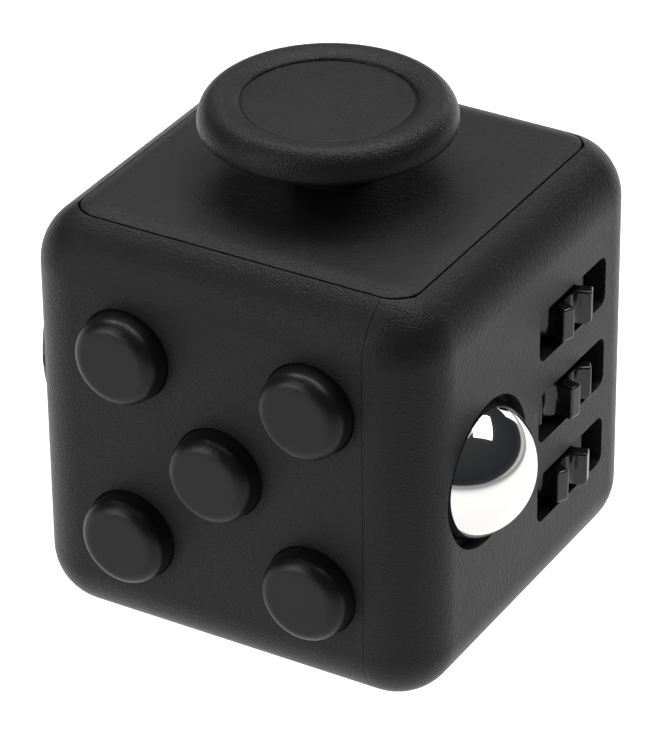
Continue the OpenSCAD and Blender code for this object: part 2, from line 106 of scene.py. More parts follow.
def block(name, low, high):
    """A box between two corners."""
    bpy.ops.object.select_all(action="DESELECT")
    low, high = Vector(low), Vector(high)
    bpy.ops.mesh.primitive_cube_add(size=1, location=(low + high) / 2)
    bpy.context.object.scale = [abs(reach) for reach in high - low]
    return finish_primitive(name)


def rod(name, start, end, radius, sides=96):
    """A round bar between two points."""
    bpy.ops.object.select_all(action="DESELECT")
    start, end = Vector(start), Vector(end)
    turn = (end - start).to_track_quat("Z", "Y").to_euler()
    bpy.ops.mesh.primitive_cylinder_add(vertices=sides, radius=radius, depth=(end - start).length,
                                        location=(start + end) / 2, rotation=turn)
    return finish_primitive(name)


def take(piece):
    """Makes one piece the only selected and active one."""
    bpy.ops.object.select_all(action="DESELECT")
    piece.select_set(True)
    bpy.context.view_layer.objects.active = piece


def pick(piece, what, test):
    """Opens a piece for editing with only the faces or edges that pass the test selected."""
    take(piece)
    mesh = piece.data
    for parts in (mesh.vertices, mesh.edges, mesh.polygons):
        parts.foreach_set("select", [False] * len(parts))
    bpy.context.tool_settings.mesh_select_mode = (False, what == "EDGE", what == "FACE")
    if what == "FACE":
        for face in mesh.polygons:
            face.select = test(face.center, face.normal)
    else:
        for edge in mesh.edges:
            a, b = (mesh.vertices[i].co for i in edge.vertices)
            edge.select = test((a + b) / 2, (b - a).normalized())
    bpy.ops.object.mode_set(mode="EDIT")


def close():
    """Ends the editing of a piece."""
    bpy.ops.object.mode_set(mode="OBJECT")


def round_edges(piece, radius, segments, test=lambda at, along: True):
    """Rounds the edges of a piece that pass the test."""
    pick(piece, "EDGE", test)
    bpy.ops.mesh.bevel(offset=radius, segments=segments, affect="EDGES", clamp_overlap=False)
    close()
    return piece


def apply_modifier(piece, kind, **settings):
    """Gives a piece one modifier with these settings, and applies it at once."""
    take(piece)
    modifier = piece.modifiers.new(kind.title(), kind)
    for key, value in settings.items():
        setattr(modifier, key, value)
    bpy.ops.object.modifier_apply(modifier=modifier.name)


def carve(piece, *tools, how="DIFFERENCE"):
    """Cuts the tools out of a piece, joins them to it, or keeps what it shares with them."""
    for tool in tools:
        apply_modifier(piece, "BOOLEAN", object=tool, operation=how, solver="MANIFOLD")
        bpy.data.objects.remove(tool)
    return piece


def soften(piece, width, segments=2, angle=40):
    """Breaks every sharp edge by a small round, and keeps the flat faces flat in the light."""
    apply_modifier(piece, "BEVEL", width=width, segments=segments, limit_method="ANGLE",
                   angle_limit=math.radians(angle), miter_outer="MITER_ARC", use_clamp_overlap=True)
    take(piece)
    bpy.ops.object.shade_smooth_by_angle(angle=math.radians(35))
    apply_modifier(piece, "WEIGHTED_NORMAL", keep_sharp=True, weight=80)
    return piece


def rounded_cube(name, half, radius, segments):
    """A cube about the toy's middle, with every edge rounded."""
    corner = Vector((half, half, half))
    return round_edges(block(name, middle - corner, middle + corner), radius, segments)


def plate_prism(name, out, half, depth, over=0.0):
    """The block that an inset plate fills in the side that faces out, with its corners rounded."""
    flat = Vector((half, half, half)) - out * half * sum(out)
    inner, outer = middle + out * (mid - depth), middle + out * (mid + over)
    prism = block(name, inner - flat, outer + flat)
    return round_edges(prism, plate_corner, 10, lambda at, along: abs(along.dot(out)) > 0.9)


def right_side(name, gap):
    """Everything that the right cap owns."""
    return block(name, (seam_x - gap, -mid - far, -far), (mid + far, mid + far, side + far))


def column(sx, sy, sz, reach):
    """A corner column that the pegs of the top and bottom plates press into."""
    in_wall = mid - wall + 0.2 * mm
    z = middle.z + sz * (mid - plate_t - 0.05 * mm)
    low, high = (sx * column_in.x, sy * column_in.y, z - sz * column_h), (sx * reach, sy * in_wall, z)
    inside = rounded_cube("inside", in_wall, edge_r - mid + in_wall, 8)
    return carve(block("column", low, high), inside, how="INTERSECT")


def peg_holes(sx):
    """The holes in one side's four columns, for the pegs of the top and bottom plates."""
    ends = ((-far, far + peg_bore_deep), (side + far, -far - peg_bore_deep))
    return [rod("peg hole", (sx * peg_place.x, sy * peg_place.y, end),
                (sx * peg_place.x, sy * peg_place.y, end + length), peg_bore, 32)
            for sy in (-1, 1) for end, length in ends]


def side_point(out, across, up, depth):
    """A point below the face that looks out: across to the right as seen from outside, and up."""
    right = UP.cross(out)
    return middle + right * across + UP * up + out * (mid - depth)


def screw_boss(piece, out, across, up, deep, radius, pilot_end):
    """A boss on the inside of a wall, with the pilot hole of its screw."""
    start, root = side_point(out, across, up, deep), side_point(out, across, up, wall - bite)
    carve(piece, rod("boss", start, root, radius, 48), how="UNION")
    start, end = side_point(out, across, up, deep + 1 * mm), side_point(out, across, up, pilot_end)
    carve(piece, rod("pilot", start, end, pilot_r, 24))


button_names = ("centre", "upper_left", "upper_right", "lower_left", "lower_right")


def button_axis(name):
    """Where a button's axis stands, measured on its CAD solid."""
    low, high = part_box("button_" + name)
    return Vector(((low.x + high.x) / 2, 0, (low.z + high.z) / 2))


class Wire:
    """A value, colour or vector inside a finish. Arithmetic on values adds its Math nodes."""

    def __init__(self, tree, socket):
        self.tree, self.socket = tree, socket

    def node(self, kind, inputs, out=0, **settings):
        """Adds any other node: its settings first, then the values or links of its sockets."""
        node = self.tree.nodes.new(kind)
        stops = settings.pop("stops", None)
        for key, value in settings.items():
            setattr(node, key, value)
        if stops:
            ramp = node.color_ramp
            while len(ramp.elements) < len(stops):
                ramp.elements.new(0.5)
            for element, (place, colour) in zip(ramp.elements, stops):
                element.position, element.color = place, colour
        for key, value in inputs.items():
            if isinstance(value, Wire):
                self.tree.links.new(value.socket, node.inputs[key])
            else:
                node.inputs[key].default_value = value
        return Wire(self.tree, node.outputs[out] if len(node.outputs) else None)

    def maths(self, operation, first, second):
        return self.node("ShaderNodeMath", {0: first, 1: second}, operation=operation)

    def __add__(self, other):
        return self.maths("ADD", self, other)

    def __sub__(self, other):
        return self.maths("SUBTRACT", self, other)

    def __mul__(self, other):
        return self.maths("MULTIPLY", self, other)

    def __pow__(self, other):
        return self.maths("POWER", self, other)

    __radd__ = __add__


def new_finish(name):
    """An empty finish, and the place on the piece that its patterns are laid out from."""
    material = bpy.data.materials.new(name)
    material.use_nodes = True
    material.node_tree.nodes.clear()
    start = Wire(material.node_tree, None)
    return material, start.node("ShaderNodeTexCoord", {}, out="Object")


def noise(place, size, detail=2, rough=0.5):
    """Soft random values whose lumps are size across."""
    inputs = {"Vector": place, "Scale": 1 / size, "Detail": detail, "Roughness": rough}
    return place.node("ShaderNodeTexNoise", inputs, noise_dimensions="3D")


def surface(place, inputs):
    """The plain surface shader that every finish ends in."""
    shader = place.node("ShaderNodeBsdfPrincipled", inputs)
    place.node("ShaderNodeOutputMaterial", {"Surface": shader})


def moulded(name, dark, light, rough, grain, depth, sheen=0.5):
    """Moulded plastic: fine eroded grain of that size and depth, and slightly uneven gloss."""
    material, place = new_finish(name)
    fine = noise(place, grain, 1, 0.6)
    coarse = noise(place, grain * 3.3, 2, 0.5)
    cloudy = noise(place, 6 * mm, 3, 0.55)
    height = fine * 0.7 + coarse * 0.3
    bump = place.node("ShaderNodeBump", {"Height": height, "Strength": 1.0, "Distance": depth})
    tone = place.node("ShaderNodeMix", {0: cloudy * 0.6 + fine * 0.4, 6: dark, 7: light}, out=2,
                      data_type="RGBA")
    surface(place, {"Base Color": tone, "Roughness": rough + (cloudy - 0.5) * 0.12 + (fine - 0.5) * 0.1,
                    "Normal": bump, "Specular IOR Level": sheen})
    return material


def dress(piece, material):
    """Gives the whole piece one finish."""
    piece.data.materials.clear()
    piece.data.materials.append(material)


case_finish = moulded("case plastic", (0.0066, 0.0067, 0.007, 1), (0.0106, 0.0107, 0.0112, 1), 0.38,
                      0.14 * mm, 0.09 * mm, 0.105)

main_shell = rounded_cube("shell_moulding", mid, edge_r, 14)
carve(main_shell, rounded_cube("hollow", mid - wall, edge_r - wall, 8), right_side("right side", seam_gap))
for sy in (-1, 1):
    for sz in (-1, 1):
        carve(main_shell, column(-1, sy, sz, mid - plate_t - seam_gap), how="UNION")
for across, up in backplate_screws:
    screw_boss(main_shell, FRONT, across, up, backplate_deep, boss_r, wall)
for out in (UP, DOWN, LEFT):
    carve(main_shell, plate_prism("plate opening", out, plate_half + plate_gap, plate_t, far))
carve(main_shell, *peg_holes(-1))
for name in button_names:
    at = button_axis(name)
    carve(main_shell, rod("button hole", at + FRONT * (mid - far), at + FRONT * (mid + far), button_bore))

# The back wall has the rocker's window, and two ears inside it hold the rocker's pin
rocker_low, rocker_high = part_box("rocker")
rocker_w = rocker_high.x - rocker_low.x
window_w = rocker_w + 0.3 * mm
window_half = 8.35 * mm
pin_low, pin_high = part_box("rocker_pin")
pin_axis = (pin_low + pin_high) / 2
pin_r = (pin_high.z - pin_low.z) / 2
ear_t = 0.9 * mm
ear_deep = 3.9 * mm
ear_half = 1.5 * mm
rocker_screw_at = 7.4 * mm
rocker_boss_deep = 7.95 * mm
for s in (-1, 1):
    inner, outer = sorted((s * window_w / 2, s * (window_w / 2 + ear_t)))
    ear = block("ear", (inner, mid - ear_deep, mid - ear_half), (outer, mid - wall + bite, mid + ear_half))
    round_edges(ear, 1.2 * mm, 6, lambda at, along: abs(along.x) > 0.9 and at.y < mid - 3 * mm)
    carve(main_shell, ear, how="UNION")
    screw_boss(main_shell, BACK, s * rocker_screw_at, 0, rocker_boss_deep, boss_r, 3 * mm)
pin_half = RIGHT * 5.7 * mm
carve(main_shell, rod("pin bore", pin_axis - pin_half, pin_axis + pin_half, pin_r + 0.03 * mm, 48))
window = block("window", (-window_w / 2, mid - wall - 0.02 * mm, mid - window_half),
               (window_w / 2, mid + far, mid + window_half))
carve(main_shell, round_edges(window, 0.5 * mm, 4, lambda at, along: abs(along.y) > 0.9))
soften(main_shell, seam_soft)
dress(main_shell, case_finish)
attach(main_shell, "case")
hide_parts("main_shell")

# ---------------------------------------------------------------------------------------------
# Right cap. A second moulding in the same black ABS that closes the right side and carries both
# of its upright roundings. The ball's opening, three wheel slots and the axle's ribs are in it.
# ---------------------------------------------------------------------------------------------
ball_low, ball_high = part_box("steel_ball")
ball_middle = (ball_low + ball_high) / 2
ball_r = (ball_high.z - ball_low.z) / 2
ball_hole = 5.7 * mm
ball_recess = 1.1 * mm
ball_seat_gap = 0.04 * mm
housing_screw_at = 8.6 * mm
housing_boss_deep = 9.55 * mm
slot_half = Vector((0, 5.1, 2.025)) * mm
slot_corner = 0.8 * mm
axle_low, axle_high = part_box("wheel_axle")
axle = (axle_low + axle_high) / 2
axle_bore = 0.775 * mm
rib_back = 1.4 * mm
rib_half = 1.5 * mm
end_rib_at = 9.6 * mm
wheel_names = ("upper", "middle", "lower")


def wheel_middle(name):
    """The middle of a wheel: on the axle, at the height of its CAD solid."""
    low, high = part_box("wheel_" + name)
    return Vector((axle.x, axle.y, (low.z + high.z) / 2))


def ball_shape(name, at, radius, levels=5):
    """A true sphere of even faces: a cube, subdivided and blown up to the radius."""
    cube = block(name, at - Vector((radius, radius, radius)), at + Vector((radius, radius, radius)))
    apply_modifier(cube, "SUBSURF", subdivision_type="SIMPLE", levels=levels, render_levels=levels)
    bpy.context.scene.cursor.location = at
    take(cube)
    bpy.ops.object.origin_set(type="ORIGIN_CURSOR")
    pick(cube, "FACE", lambda at, normal: True)
    bpy.ops.transform.tosphere(value=1)
    close()
    reach = max(v.co.length for v in cube.data.vertices)
    cube.scale = (radius / reach,) * 3
    bpy.ops.object.transform_apply(location=True, rotation=True, scale=True)
    return cube


roll_panel = rounded_cube("right_cap", mid, edge_r, 14)
carve(roll_panel, rounded_cube("hollow", mid - wall, edge_r - wall, 8))
carve(roll_panel, right_side("right side", 0), how="INTERSECT")
for sy in (-1, 1):
    for sz in (-1, 1):
        carve(roll_panel, column(1, sy, sz, mid), how="UNION")
for out in (UP, DOWN):
    carve(roll_panel, plate_prism("plate opening", out, plate_half + plate_gap, plate_t, far))
carve(roll_panel, *peg_holes(1))
pitch = wheel_middle("upper").z - wheel_middle("middle").z
for s in (-1, 1):
    for height, half in ((s * pitch / 2, 1.4 * mm), (s * end_rib_at, 0.8 * mm)):
        rib = block("rib", (axle.x - rib_back, axle.y - rib_half, mid + height - half),
                    (mid - wall + bite, axle.y + rib_half, mid + height + half))
        carve(roll_panel, rib, how="UNION")
axle_half = UP * (axle_high.z - axle.z + 0.1 * mm)
carve(roll_panel, rod("axle bore", axle - axle_half, axle + axle_half, axle_bore, 48))
for s in (-1, 1):
    screw_boss(roll_panel, RIGHT, ball_middle.y, s * housing_screw_at, housing_boss_deep, 1.4 * mm, 4 * mm)
opening = rod("ball opening", side_point(RIGHT, ball_middle.y, 0, ball_recess),
              side_point(RIGHT, ball_middle.y, 0, -far), ball_hole, 128)
carve(roll_panel, opening, ball_shape("ball seat", ball_middle, ball_r + ball_seat_gap))
for level in (-1, 0, 1):
    at = Vector((mid, axle.y, mid + level * pitch))
    slot = block("slot", at - slot_half - RIGHT * (wall + 0.1 * mm), at + slot_half + RIGHT * far)
    carve(roll_panel, round_edges(slot, slot_corner, 8, lambda p, along: abs(along.x) > 0.9))
soften(roll_panel, seam_soft)
dress(roll_panel, case_finish)
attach(roll_panel, "case")
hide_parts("roll_panel")

# ---------------------------------------------------------------------------------------------
# Top, left and bottom plates. Three inset plates in the same black ABS, let into the shell with a
# hairline seam all round. The top one has the joystick's opening, the left one the dial's bore and
# the bottom one the shallow dish that a thumb strokes.
# ---------------------------------------------------------------------------------------------
pivot = Vector((0, 0, [j for j in frame["joints"] if j["name"] == "tilt_sideways"][0]["pos_m"][2]))
skirt_r = 4.4 * mm
stick_screw_at = 6.3 * mm
stick_boss_low = 28.75 * mm
peg_r = 0.75 * mm
peg_long = 5.5 * mm
hub_r = 3 * mm
dish_r = 9 * mm
dish_deep = 1.2 * mm
dish_pad_r = 10 * mm
dish_pad_t = 0.8 * mm


def inset_plate(name, out):
    """A plate cut from the case's own rounded cube, so that its face and rim carry on the case's."""
    plate = rounded_cube(name, mid, edge_r, 14)
    return carve(plate, plate_prism("plate block", out, plate_half, plate_t, far), how="INTERSECT")


def finish_plate(plate, node):
    """Softens a plate's edges, dresses it and fixes it to the case."""
    soften(plate, seam_soft)
    dress(plate, case_finish)
    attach(plate, "case")
    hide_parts(node)


def pegs(end, inner):
    """A plate's four pegs, which press into the corner columns."""
    places = [(sx * peg_place.x, sy * peg_place.y) for sx in (-1, 1) for sy in (-1, 1)]
    return [rod("peg", (x, y, end), (x, y, inner), peg_r, 32) for x, y in places]


glide_plate = inset_plate("top_plate", UP)
carve(glide_plate, *pegs(side - peg_long, side - plate_t + bite), how="UNION")
for sx in (-1, 1):
    for sy in (-1, 1):
        x, y = sx * stick_screw_at, sy * stick_screw_at
        boss = rod("boss", (x, y, stick_boss_low), (x, y, side - 1 * mm), 1.3 * mm, 48)
        carve(glide_plate, boss, how="UNION")
        carve(glide_plate, rod("pilot", (x, y, 28 * mm), (x, y, side - 1.2 * mm), pilot_r, 24))
carve(glide_plate, ball_shape("stick opening", pivot, skirt_r + 0.1 * mm))
finish_plate(glide_plate, "glide_plate")

spin_plate = inset_plate("left_plate", LEFT)
bore = rod("dial bore", middle + LEFT * (mid - far), middle + LEFT * (mid + far), hub_r + 0.05 * mm)
carve(spin_plate, bore)
finish_plate(spin_plate, "spin_plate")

breathe_plate = inset_plate("bottom_plate", DOWN)
carve(breathe_plate, *pegs(peg_long, plate_t - bite), how="UNION")
pad = rod("pad", (0, 0, plate_t - bite), (0, 0, plate_t + dish_pad_t), dish_pad_r)
carve(breathe_plate, pad, how="UNION")
dish_ball = (dish_r ** 2 + dish_deep ** 2) / (2 * dish_deep)
carve(breathe_plate, ball_shape("dish", Vector((0, 0, dish_deep - dish_ball)), dish_ball, 7))
finish_plate(breathe_plate, "breathe_plate")

# ---------------------------------------------------------------------------------------------
# Push buttons. Five small drafted caps in black ABS with a finer, silkier grain, each with a flange
# behind the wall that holds it in and a short stub that presses on its dome.
# ---------------------------------------------------------------------------------------------
button_r = 3.5 * mm
button_tip = 3.4 * mm
button_soft = 1.05 * mm
stub_r = 1 * mm
flange_t = 0.8 * mm
flange_soft = 0.15 * mm


def arc(radius, height, size, start, end, steps):
    """Points on a round of an outline: its centre, its size, and its angles in degrees."""
    angles = [math.radians(start + (end - start) * i / steps) for i in range(steps + 1)]
    return [(radius + size * math.cos(a), height + size * math.sin(a)) for a in angles]


def turned(name, outline, sides=96):
    """A turned shape: a ring drawn up through the outline's radii and heights, closed at both ends."""
    bpy.ops.object.select_all(action="DESELECT")
    radius, height = outline[0]
    bpy.ops.mesh.primitive_circle_add(vertices=sides, radius=radius, location=(0, 0, height),
                                      fill_type="NGON")
    piece = finish_primitive(name)
    bpy.ops.object.mode_set(mode="EDIT")
    bpy.ops.mesh.select_all(action="SELECT")
    for next_radius, next_height in outline[1:]:
        bpy.ops.mesh.extrude_region_move(TRANSFORM_OT_translate={"value": (0, 0, next_height - height)})
        scale = next_radius / radius
        bpy.ops.transform.resize(value=(scale, scale, 1), center_override=(0, 0, next_height))
        radius, height = next_radius, next_height
    bpy.ops.mesh.select_all(action="SELECT")
    bpy.ops.mesh.normals_make_consistent(inside=False)
    close()
    return piece


def put(piece, place, out):
    """Stands a piece that was made upright on its place, pointing out."""
    take(piece)
    piece.rotation_euler = out.to_track_quat("Z", "Y").to_euler()
    piece.location = place
    bpy.ops.object.transform_apply(location=True, rotation=True, scale=True)
    return piece


def smooth(piece, angle=40):
    """Shades a piece smooth, except over edges sharper than the angle."""
    take(piece)
    bpy.ops.object.shade_smooth_by_angle(angle=math.radians(angle))
    apply_modifier(piece, "WEIGHTED_NORMAL", keep_sharp=True, weight=80)
    return piece


button_finish = moulded("button plastic", (0.005, 0.0051, 0.0054, 1), (0.0078, 0.0079, 0.0083, 1), 0.34,
                        0.12 * mm, 0.02 * mm, 0.15)

for name in button_names:
    low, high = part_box("button_" + name)
    top, bottom = -low.y - mid, mid + high.y
    flange_r = (high.x - low.x) / 2
    base = -wall - 0.05 * mm - flange_t
    outline = [(stub_r, -bottom), (stub_r, base), (flange_r - flange_soft, base),
               (flange_r, base + flange_soft), (flange_r, base + flange_t), (button_r, base + flange_t),
               (button_r, 0)]
    outline += arc(button_tip - button_soft, top - button_soft, button_soft, 0, 90, 12)
    outline += [(button_tip - button_soft - 0.5 * mm, top)]
    cap = smooth(put(turned("push_button_" + name, outline), button_axis(name) + FRONT * mid, FRONT))
    dress(cap, button_finish)
    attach(cap, "button_" + name)
    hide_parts("button_" + name)

# ---------------------------------------------------------------------------------------------
# Steel ball. A polished bearing ball that rolls in its cup behind the right cap and stands a third
# out of it; the cup slides, so pressing the ball clicks the dome behind it.
# ---------------------------------------------------------------------------------------------
def polished(name, colour, rough, scratch):
    """Polished steel: bright, with a trace of handling marks."""
    material, place = new_finish(name)
    marks = noise(place, 0.9 * mm, 5, 0.7)
    haze = noise(place, 4 * mm, 2, 0.5)
    bump = place.node("ShaderNodeBump", {"Height": marks, "Strength": 0.15, "Distance": scratch})
    surface(place, {"Base Color": colour, "Metallic": 1.0, "Roughness": rough + haze * marks * 0.03,
                    "Normal": bump})
    return material


ball_finish = polished("ball steel", (0.62, 0.615, 0.6, 1), 0.05, 0.0008 * mm)
ball = ball_shape("bearing_ball", ball_middle, ball_r, 6)
smooth(ball)
dress(ball, ball_finish)
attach(ball, "ball")
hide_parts("steel_ball")

# ---------------------------------------------------------------------------------------------
# Toothed wheels. Three thumb wheels in glossier black plastic on one steel axle. Each has
# eight short square teeth with rounded corners, which stand a millimetre out of the slot.
# ---------------------------------------------------------------------------------------------
wheel_finish = moulded("wheel plastic", (0.006, 0.0061, 0.0064, 1), (0.0095, 0.0097, 0.01, 1), 0.16,
                       0.3 * mm, 0.0015 * mm, 0.35)
teeth = 8
wheel_r = 4.4 * mm
tooth_t = 1.05 * mm
tooth_h = 2.75 * mm
root_r = 3 * mm
hub_wheel_r = 1.7 * mm
hub_h = 3.46 * mm
wheel_bore = 0.8 * mm
tooth_soft = 0.2 * mm
tooth_low_r = 0.42 * mm
tooth_high_r = 0.15 * mm
valley_r = 0.5 * mm
# How far each wheel happens to be turned, in degrees
wheel_turn = {"upper": -24.5, "middle": -13, "lower": -27.5}


def paddle_wheel(name, at, turn):
    """An eight-sided core with a tooth on each corner, and round valleys from tooth to tooth."""
    step = 360 / teeth
    reach = root_r / math.cos(math.radians(step / 2))
    wheel = rod(name, at - UP * (tooth_h / 2 - 0.1 * mm), at + UP * (tooth_h / 2 - 0.1 * mm), reach, teeth)
    take(wheel)
    bpy.context.scene.cursor.location = at
    bpy.ops.object.origin_set(type="ORIGIN_CURSOR")
    first = wheel.data.vertices[0].co
    wheel.rotation_euler.z = math.radians(turn) - math.atan2(first.y, first.x)
    bpy.ops.object.transform_apply(location=True, rotation=True, scale=True)
    for i in range(teeth):
        angle = math.radians(turn + i * step)
        along = Vector((math.cos(angle), math.sin(angle), 0))
        across = UP.cross(along)
        bpy.ops.object.select_all(action="DESELECT")
        bpy.ops.mesh.primitive_cube_add(size=1, location=at + along * (wheel_r + 1 * mm) / 2,
                                        rotation=(0, 0, angle))
        bpy.context.object.scale = (wheel_r - 1 * mm, tooth_t, tooth_h)
        tooth = finish_primitive("tooth")
        for radius, side_of in ((tooth_low_r, -1), (tooth_high_r, 1)):
            round_edges(tooth, radius, 5, lambda p, e: abs(e.dot(across)) > 0.9
                        and (p - at).dot(along) > wheel_r * 0.9 and (p - at).z * side_of > tooth_h * 0.3)
        round_edges(tooth, tooth_soft, 5, lambda p, e: abs(e.dot(across)) < 0.1
                    and abs((p - at).dot(across)) > tooth_t * 0.49 and (p - at).dot(along) > 1.1 * mm)
        carve(wheel, tooth, how="UNION")
    half_valley = math.degrees(math.asin(tooth_t / 2 / root_r))

    def in_valley(p, e):
        off = (math.degrees(math.atan2(p.y - at.y, p.x - at.x)) - turn + step / 2) % step - step / 2
        at_root = abs((p - at).xy.length - root_r) < 0.3 * mm
        return abs(e.z) > 0.9 and at_root and abs(abs(off) - half_valley) < 2

    round_edges(wheel, valley_r, 6, in_valley)
    carve(wheel, rod("hub", at - UP * hub_h / 2, at + UP * hub_h / 2, hub_wheel_r, 64), how="UNION")
    carve(wheel, rod("bore", at - UP * hub_h, at + UP * hub_h, wheel_bore, 48))
    return smooth(wheel, 50)


for name in wheel_names:
    wheel = paddle_wheel("thumb_wheel_" + name, wheel_middle(name), wheel_turn[name])
    dress(wheel, wheel_finish)
    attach(wheel, "wheel_" + name)
    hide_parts("wheel_" + name)

# ---------------------------------------------------------------------------------------------
# Joystick. The dished thumb cap presses onto the neck of the stick, whose ball-shaped skirt closes
# the opening in the top plate at every tilt. Both are moulded in black plastic.
# ---------------------------------------------------------------------------------------------
cap_low, cap_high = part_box("thumb_cap")
cap_r = (cap_high.x - cap_low.x) / 2
# The cap sits a little off the stick's axis, as far as its CAD solid does
cap_off = Vector((cap_low.x + cap_high.x, cap_low.y + cap_high.y, 0)) / 2
cap_top = cap_high.z
cap_bottom = cap_top - 2.4 * mm
cap_floor = cap_top - 0.48 * mm
pad_r = 6.22 * mm
neck_r = 2.2 * mm
neck_top = cap_bottom + 0.5 * mm
skirt_t = 0.6 * mm

cap_finish = moulded("cap plastic", (0.0066, 0.0067, 0.007, 1), (0.0106, 0.0107, 0.0112, 1), 0.34,
                     0.14 * mm, 0.09 * mm, 0.1)

# Its outline, from the neck out: a soft lower edge, the swell of the rim up to its crest, the
# slope down to the pad with a fine groove at its foot, and the flat pad
crest = cap_r - 1.55 * mm
crest_round = 2.8 * mm
under_round = 0.5 * mm
pad_round = 0.08 * mm
shoulder = cap_bottom + 0.6 * mm
outline = [(neck_r + 0.4 * mm, cap_bottom), (cap_r - under_round, cap_bottom)]
outline += arc(cap_r - under_round, cap_bottom + under_round, under_round, -75, 0, 5)
for angle in range(8, 91, 6):
    swell, rise = math.cos(math.radians(angle)), math.sin(math.radians(angle))
    outline.append((crest + (cap_r - crest) * swell, shoulder + (cap_top - shoulder) * rise))
outline += arc(crest, cap_top - crest_round, crest_round, 94, 122, 7)
outline += [(pad_r + 0.07 * mm, cap_floor - 0.05 * mm), (pad_r + 0.02 * mm, cap_floor - 0.06 * mm)]
outline += arc(pad_r - pad_round, cap_floor - pad_round, pad_round, 10, 90, 5)
outline += [(pad_r - 0.5 * mm, cap_floor), (pad_r * 0.5, cap_floor)]
thumb_cap = put(turned("joystick_cap", outline, 160), cap_off, UP)
carve(thumb_cap, rod("socket", (0, 0, cap_low.z), (0, 0, cap_bottom + bite), neck_r + 1 * mm), how="UNION")
bore = rod("socket bore", (0, 0, cap_low.z - far), (0, 0, neck_top + 0.02 * mm), neck_r + 0.01 * mm)
carve(thumb_cap, bore)
smooth(thumb_cap, 60)
dress(thumb_cap, cap_finish)
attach(thumb_cap, "joystick")
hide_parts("thumb_cap")

# The stick's outline, from the stem's end up: the inside of the skirt, its outside, and the neck
skirt_rise = 0.8 * mm
stem_r = 1.2 * mm
pin_reach = 2.55 * mm
inner_r = skirt_r - skirt_t
edge_angle = math.degrees(math.asin(skirt_rise / skirt_r))
inner_angle = math.degrees(math.asin(skirt_rise / inner_r))
neck_angle = math.degrees(math.acos(neck_r / skirt_r))
stem_angle = math.degrees(math.acos(stem_r / inner_r))
stick_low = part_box("stick")[0]
outline = [(stem_r, stick_low.z)] + arc(0, pivot.z, inner_r, stem_angle, inner_angle, 12)
outline += arc(0, pivot.z, skirt_r, edge_angle, neck_angle, 14) + [(neck_r, neck_top)]
stick = turned("stick_and_skirt", outline)
cross_pin = rod("cross pin", pivot - RIGHT * pin_reach, pivot + RIGHT * pin_reach, 0.5 * mm, 32)
carve(stick, cross_pin, how="UNION")
smooth(stick)
dress(stick, wheel_finish)
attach(stick, "joystick")
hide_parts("stick")

# ---------------------------------------------------------------------------------------------
# Rocker. A switch paddle in black ABS on a steel pin in the back wall. It lies with one end up, and
# its heel snaps over the bent strip behind it when the other end is pressed.
# ---------------------------------------------------------------------------------------------
rocker_tilt = math.radians(10)
rocker_end_r = 8.2 * mm
lip_r = 0.6 * mm
facet_fall = 0.95 * mm
barrel_r = 1.5 * mm
heel_reach = 3.4 * mm
heel_half = 1.5 * mm
heel_r = 0.8 * mm
proud = rocker_high.y - mid
pivot_deep = mid - pin_axis.y
lip_at = math.asin((proud + pivot_deep - lip_r) / (rocker_end_r - lip_r)) - rocker_tilt
lip_z = (rocker_end_r - lip_r) * math.cos(lip_at)
lip_y = (rocker_end_r - lip_r) * math.sin(lip_at)

left_end, right_end = pin_axis - RIGHT * rocker_w / 2, pin_axis + RIGHT * rocker_w / 2
rocker = rod("rocker_paddle", left_end, right_end, rocker_end_r, 192)
keep_low = Vector((-rocker_w, pin_axis.y - 0.4 * mm, mid - rocker_end_r))
keep = block("keep", keep_low, (rocker_w, pin_axis.y + lip_y + lip_r, mid + rocker_end_r))
carve(rocker, keep, how="INTERSECT")
lip_from = pin_axis.y + lip_y + lip_r - 0.01 * mm
round_edges(rocker, lip_r * 0.8, 6, lambda p, e: abs(e.x) > 0.9 and p.y > lip_from)
for s in (-1, 1):
    slope = math.atan2(facet_fall, lip_z)
    along = Vector((0, math.sin(slope), s * math.cos(slope)))
    outward = Vector((0, math.cos(slope), -s * math.sin(slope)))
    bpy.ops.object.select_all(action="DESELECT")
    facet_at = pin_axis + BACK * (lip_y - 0.35 * mm) + outward * 2 * mm + along * 0.6 * lip_z
    bpy.ops.mesh.primitive_cube_add(size=1, location=facet_at, rotation=(-s * slope, 0, 0))
    bpy.context.object.scale = (2 * rocker_w, 4 * mm, lip_z * 1.2)
    carve(rocker, finish_primitive("facet"))
carve(rocker, rod("barrel", left_end, right_end, barrel_r, 64), how="UNION")
heel_end = pin_axis + FRONT * heel_reach
heel = block("heel", (-heel_half, heel_end.y, mid - heel_r), (heel_half, pin_axis.y - 1 * mm, mid + heel_r))
heel_tip = rod("heel tip", heel_end - RIGHT * heel_half, heel_end + RIGHT * heel_half, heel_r, 48)
carve(rocker, heel, heel_tip, how="UNION")
bore = rod("pin bore", pin_axis - RIGHT * rocker_w, pin_axis + RIGHT * rocker_w, pin_r + 0.05 * mm, 48)
carve(rocker, bore)
take(rocker)
bpy.ops.object.mode_set(mode="EDIT")
bpy.ops.mesh.select_all(action="SELECT")
bpy.ops.transform.rotate(value=rocker_tilt, orient_axis="X", center_override=tuple(pin_axis))
close()
soften(rocker, 0.25 * mm, 3)
dress(rocker, button_finish)
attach(rocker, "rocker")
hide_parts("rocker")

